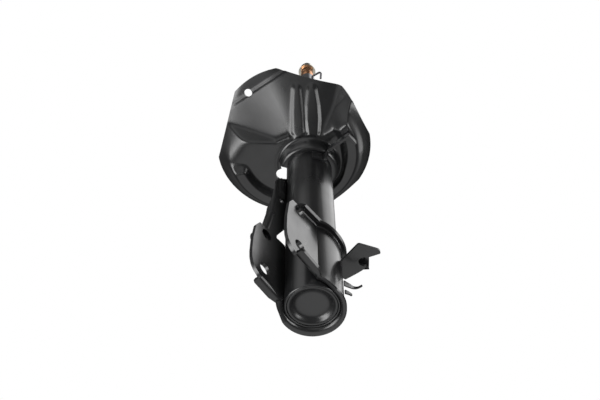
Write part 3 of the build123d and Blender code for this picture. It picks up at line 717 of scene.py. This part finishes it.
def side_gusset():
    """Upright plate beside the tube, with its free edge turned outwards and a shallow emboss."""
    rows = []
    count = 90
    across = 24
    for i in range(count + 1):
        z = GUSSET_LOW + (GUSSET_HIGH - GUSSET_LOW) * i / count
        root = along(z, GUSSET_ROOT)
        edge = along(z, GUSSET_EDGE)
        lip = along(z, GUSSET_LIP)
        turn = min(GUSSET_BEND, lip)
        row = []
        for j in range(across + 1):
            x = root + (edge - turn - root) * j / across
            emboss = EMBOSS_DEPTH * plateau(z, *EMBOSS_Z) * plateau(x, *EMBOSS_X)
            row.append(place(x, GUSSET_FACE_Y + emboss, z))
        for a in quarter_turn(7)[1:]:
            row.append(place(edge - turn + turn * math.sin(a), GUSSET_FACE_Y - turn + turn * math.cos(a), z))
        for k in range(1, 4):
            row.append(place(edge, GUSSET_FACE_Y - turn - (lip - turn + 0.05) * k / 3, z))
        rows.append(row)
    item = finish_piece("formed_gusset", grid_mesh(rows), BODY, "black_paint", ["side_gusset"], 50)
    thicken(item, GUSSET_SHEET, (0.0, -1.0, 0.0))
    drill(item, place(*GUSSET_HOLE), ACROSS, GUSSET_HOLE_RADIUS, 30)
    item.data.set_sharp_from_angle(angle=math.radians(45))
    break_edges(item, 0.4, 2, 50)


# Base cap

CAP_EDGE = 23.45
CAP_PROFILE = (
    (0.0, 5.3), (6.0, 5.3), (12.0, 5.1), (15.0, 4.7), (16.8, 3.9), (18.2, 2.7),
    (19.5, 1.5), (20.6, 0.8), (21.8, 0.5), (22.8, 0.6), (CAP_EDGE - 0.2, 0.9), (CAP_EDGE, 1.6),
    (CAP_EDGE, 7.0), (CAP_EDGE - 1.5, 7.0), (CAP_EDGE - 1.5, 3.8), (21.5, 3.7), (18.5, 8.2), (0.0, 8.3),
)


def base_cap():
    """Pressed cap in the tube's end, with a soft dish."""
    rows = []
    around = 120
    for i in range(around):
        a = 2 * math.pi * i / around
        rows.append([place(r * math.cos(a), r * math.sin(a), z) for r, z in CAP_PROFILE])
    mesh = grid_mesh(rows, closed_along=True)
    finish_piece("dished_cap", mesh, BODY, "black_paint", ["base_cap"], 60)


# Small brackets on the wrap

HOSE_LOW = 49.0
HOSE_SHEET = 2.5
HOSE_NOTCH = (-21.3, 45.7)
HOSE_NOTCH_RADIUS = 5.2
# Corners of the hose plate in plan, each with the size of its rounding
HOSE_OUTLINE = (
    (-7.5, 28.2, 0.5), (-1.1, 54.2, 2.0), (-19.4, 65.3, 2.2), (-23.4, 63.6, 1.6),
    (-19.6, 51.6, 1.2), (*HOSE_NOTCH, 0.3), (-26.0, 45.8, 1.2), (-28.6, 40.5, 3.5),
    (-28.4, 31.0, 4.0), (-27.4, 19.2, 0.8), (-21.0, 17.0, 0.5),
)
HOSE_TAB = (
    (-28.6, 39.6, 50.0), (-30.4, 38.4, 53.0), (-30.2, 38.6, 56.0), (-27.6, 40.8, 57.6), (-21.5, 45.4, 58.0),
)
HOSE_TAB_ACROSS = (0.6, -0.8)
HOSE_TAB_WIDTH = 11.0
HOSE_TAB_SHEET = 1.4

# Strips of sheet: stops of x, y, and the heights of the lower and upper edge
TONGUE = (
    (-14.4, 26.0, 23.0, 30.5), (-20.5, 27.6, 24.5, 30.3), (-25.6, 28.8, 26.6, 30.1),
    (-28.4, 31.8, 27.6, 30.0), (-28.9, 36.4, 28.0, 30.0),
)
TONGUE_SHEET = 1.3
CLIP_TAB = ((-15.6, 25.6, 13.5, 18.6), (-19.5, 27.0, 14.5, 18.3), (-23.4, 27.6, 15.6, 18.0))
CLIP_TAB_SHEET = 1.6


def rounded_outline(corners):
    """Plan outline with each (x, y, radius) corner cut to a smooth bend."""
    points = []
    for before, corner, after in zip(corners[-1:] + corners[:-1], corners, corners[1:] + corners[:1]):
        tip = Vector(corner[:2])
        start = tip + (Vector(before[:2]) - tip).normalized() * corner[2]
        end = tip + (Vector(after[:2]) - tip).normalized() * corner[2]
        for k in range(7):
            t = k / 6
            points.append(start * (1 - t) ** 2 + tip * 2 * t * (1 - t) + end * t * t)
    return points


def between_stops(before, start, end, after, t):
    """Value on a smooth curve from start to end, bent by the values before and after them."""
    bend = 2 * before - 5 * start + 4 * end - after
    twist = 3 * (start - end) + after - before
    return start + 0.5 * t * (end - before + t * (bend + t * twist))


def smooth_path(stops, steps=8):
    """Curve through stops of any number of values, with even bends."""
    points = []
    last = len(stops) - 1
    for i in range(last):
        near = (stops[max(i - 1, 0)], stops[i], stops[i + 1], stops[min(i + 2, last)])
        for k in range(steps):
            points.append([between_stops(*values, k / steps) for values in zip(*near)])
    points.append(list(stops[last]))
    return points


def strip_mesh(stops, thickness):
    """Upright strip of sheet along a plan curve of (x, y, low, high) stops."""
    path = smooth_path(stops)
    rows = []
    for i, (x, y, low, high) in enumerate(path):
        before, after = path[max(i - 1, 0)], path[min(i + 1, len(path) - 1)]
        run = Vector((after[0] - before[0], after[1] - before[1])).normalized()
        nx, ny = -run.y * thickness / 2, run.x * thickness / 2
        corners = ((-1, low), (1, low), (1, high), (-1, high))
        rows.append([place(x + side * nx, y + side * ny, z) for side, z in corners])
    return grid_mesh(rows, closed_across=True, caps=True)


def hose_tab():
    """Tab that is bent over the notch of the hose plate."""
    half, lift = HOSE_TAB_WIDTH / 2, HOSE_TAB_SHEET / 2
    corners = ((-half, -lift), (half, lift), (half, -lift), (-half, lift))
    rows = []
    for x, y, z in smooth_path(HOSE_TAB):
        ax, ay = HOSE_TAB_ACROSS
        rows.append([place(x + across * ax, y + across * ay, z + up) for across, up in corners])
    mesh = grid_mesh(rows, closed_across=True, caps=True)
    tab = finish_piece("hose_tab", mesh, BODY, "black_paint", (), 40)
    break_edges(tab, 0.3, 2, 50)


def hose_bracket():
    """Plate for the brake hose, with rounded corners, its open notch and a tab bent over it."""
    outline = rounded_outline(HOSE_OUTLINE)
    rows = [[place(p.x, p.y, z) for p in outline] for z in (HOSE_LOW, HOSE_LOW + HOSE_SHEET)]
    mesh = grid_mesh(rows, closed_across=True, caps=True)
    item = finish_piece("hose_plate", mesh, BODY, "black_paint", ["hose_bracket"], 30)
    drill(item, place(*HOSE_NOTCH, HOSE_LOW + 1), UP, HOSE_NOTCH_RADIUS, 20)
    break_edges(item, 0.7, 3, 50)
    hose_tab()


def sensor_clip():
    """Thin sprung tongue that curls at its tip, and the short tab below it."""
    mesh = strip_mesh(TONGUE, TONGUE_SHEET)
    tongue = finish_piece("clip_tongue", mesh, BODY, "black_paint", ["sensor_clip"], 40)
    break_edges(tongue, 0.3, 2, 50)
    mesh = strip_mesh(CLIP_TAB, CLIP_TAB_SHEET)
    tab = finish_piece("clip_tab", mesh, BODY, "black_paint", (), 40)
    break_edges(tab, 0.3, 2, 50)


# Camera, light and surroundings

CAMERA_PLACE = (379.0, 293.0, -538.7)
CAMERA_RIGHT = (-0.6321, 0.7749, -0.0026)
CAMERA_VIEW = (-0.4348, -0.3519, 0.8289)

# Soft patches of light round the object: direction, strength, and the cosines between which they fade in
STUDIO = (
    ((0, 0, 1), 0.08, -2.0, -1.5),
    ((-0.43, 0.35, 0.83), 0.62, 0.82, 0.97),
    ((0.56, -0.36, -0.74), 4.2, 0.945, 0.9995),
    ((-0.43, -0.35, -0.83), 0.45, 0.80, 0.98),
    ((-0.33, 0.83, -0.44), 3.2, 0.94, 0.99),
    ((0.70, -0.58, -0.41), 3.2, 0.94, 0.99),
    ((0.9, 0.1, 0.42), 0.5, 0.8, 0.96),
)
FLOOR_GAP = 0.5
FLOOR_HALF_SIZE = 2500.0


def add_camera():
    """Camera at the photograph's place, below the strut and to its front."""
    data = bpy.data.cameras.new("camera")
    data.lens = 48.0
    data.sensor_width = 36.0
    data.clip_start = 0.01
    item = bpy.data.objects.new("camera", data)
    bpy.context.scene.collection.objects.link(item)
    right = Vector(CAMERA_RIGHT).normalized()
    back = -Vector(CAMERA_VIEW).normalized()
    up = back.cross(right).normalized()
    right = up.cross(back)
    turn = Matrix((right, up, back)).transposed().to_4x4()
    item.matrix_world = Matrix.Translation(place(*CAMERA_PLACE)) @ turn
    bpy.context.scene.camera = item


def add_lamp(name, place_mm, aim_mm, size, power):
    """Large soft rectangular lamp that faces a point."""
    data = bpy.data.lights.new(name, "AREA")
    data.shape = "RECTANGLE"
    data.size, data.size_y = size
    data.energy = power
    item = bpy.data.objects.new(name, data)
    bpy.context.scene.collection.objects.link(item)
    origin = place(*place_mm)
    item.location = origin
    item.rotation_mode = "QUATERNION"
    item.rotation_quaternion = (place(*aim_mm) - origin).to_track_quat("-Z", "Y")


def add_world():
    """Pale surroundings: white for the camera, and a soft studio for light and reflections."""
    world = bpy.data.worlds.new("surroundings")
    bpy.context.scene.world = world
    world.use_nodes = True
    tree = world.node_tree
    tree.nodes.clear()
    output = tree.nodes.new("ShaderNodeOutputWorld")
    mix = tree.nodes.new("ShaderNodeMixShader")
    paths = tree.nodes.new("ShaderNodeLightPath")
    seen = tree.nodes.new("ShaderNodeBackground")
    seen.inputs["Color"].default_value = (1, 1, 1, 1)
    light = tree.nodes.new("ShaderNodeBackground")
    light.inputs["Color"].default_value = (1, 1, 1, 1)
    coords = tree.nodes.new("ShaderNodeTexCoord")
    total = None
    for direction, power, start, end in STUDIO:
        aim = tree.nodes.new("ShaderNodeVectorMath")
        aim.operation = "DOT_PRODUCT"
        aim.inputs[1].default_value = Vector(direction).normalized()
        tree.links.new(coords.outputs["Generated"], aim.inputs[0])
        patch = spread(tree, aim.outputs["Value"], 0.0, power, start, end)
        patch.node.interpolation_type = "SMOOTHSTEP"
        if total is None:
            total = patch
            continue
        both = tree.nodes.new("ShaderNodeMath")
        both.operation = "ADD"
        tree.links.new(total, both.inputs[0])
        tree.links.new(patch, both.inputs[1])
        total = both.outputs["Value"]
    tree.links.new(total, light.inputs["Strength"])
    tree.links.new(paths.outputs["Is Camera Ray"], mix.inputs["Fac"])
    tree.links.new(light.outputs["Background"], mix.inputs[1])
    tree.links.new(seen.outputs["Background"], mix.inputs[2])
    tree.links.new(mix.outputs["Shader"], output.inputs["Surface"])


def floor_material():
    """Pale matt floor that only the camera sees, and only from above."""
    material, tree, shader = new_material("floor")
    tone = ramp(tree, noise(tree, 3, 3), [(0.3, (0.84, 0.84, 0.84)), (0.7, (0.87, 0.87, 0.87))])
    tree.links.new(tone, shader.inputs["Base Color"])
    shader.inputs["Roughness"].default_value = 0.9
    shader.inputs["Emission Color"].default_value = (1, 1, 1, 1)
    shader.inputs["Emission Strength"].default_value = 0.5
    clear = tree.nodes.new("ShaderNodeBsdfTransparent")
    side = tree.nodes.new("ShaderNodeNewGeometry")
    paths = tree.nodes.new("ShaderNodeLightPath")
    shown = tree.nodes.new("ShaderNodeMath")
    shown.operation = "SUBTRACT"
    shown.use_clamp = True
    tree.links.new(paths.outputs["Is Camera Ray"], shown.inputs[0])
    tree.links.new(side.outputs["Backfacing"], shown.inputs[1])
    mix = tree.nodes.new("ShaderNodeMixShader")
    tree.links.new(shown.outputs["Value"], mix.inputs["Fac"])
    tree.links.new(clear.outputs["BSDF"], mix.inputs[1])
    tree.links.new(shader.outputs["BSDF"], mix.inputs[2])
    tree.links.new(mix.outputs["Shader"], tree.nodes["Material Output"].inputs["Surface"])
    return material


def add_floor():
    """Pale floor just under the strut."""
    mesh = bmesh.new()
    bmesh.ops.create_grid(mesh, x_segments=8, y_segments=8, size=FLOOR_HALF_SIZE * MM)
    item = new_object("floor", mesh)
    item.location = (0, 0, cad_low.z - FLOOR_GAP * MM)
    item.data.materials.append(floor_material())


dress_nodes()
spring_seat()
knuckle_bracket()
side_gusset()
base_cap()
hose_bracket()
sensor_clip()
add_camera()
add_world()
add_floor()
add_lamp("key", (-450, 500, 900), (0, 0, 200), (0.9, 0.9), 2)
add_lamp("front", (900, 500, -200), (0, 0, 150), (0.8, 1.2), 1)
bpy.context.scene.view_settings.view_transform = "Standard"
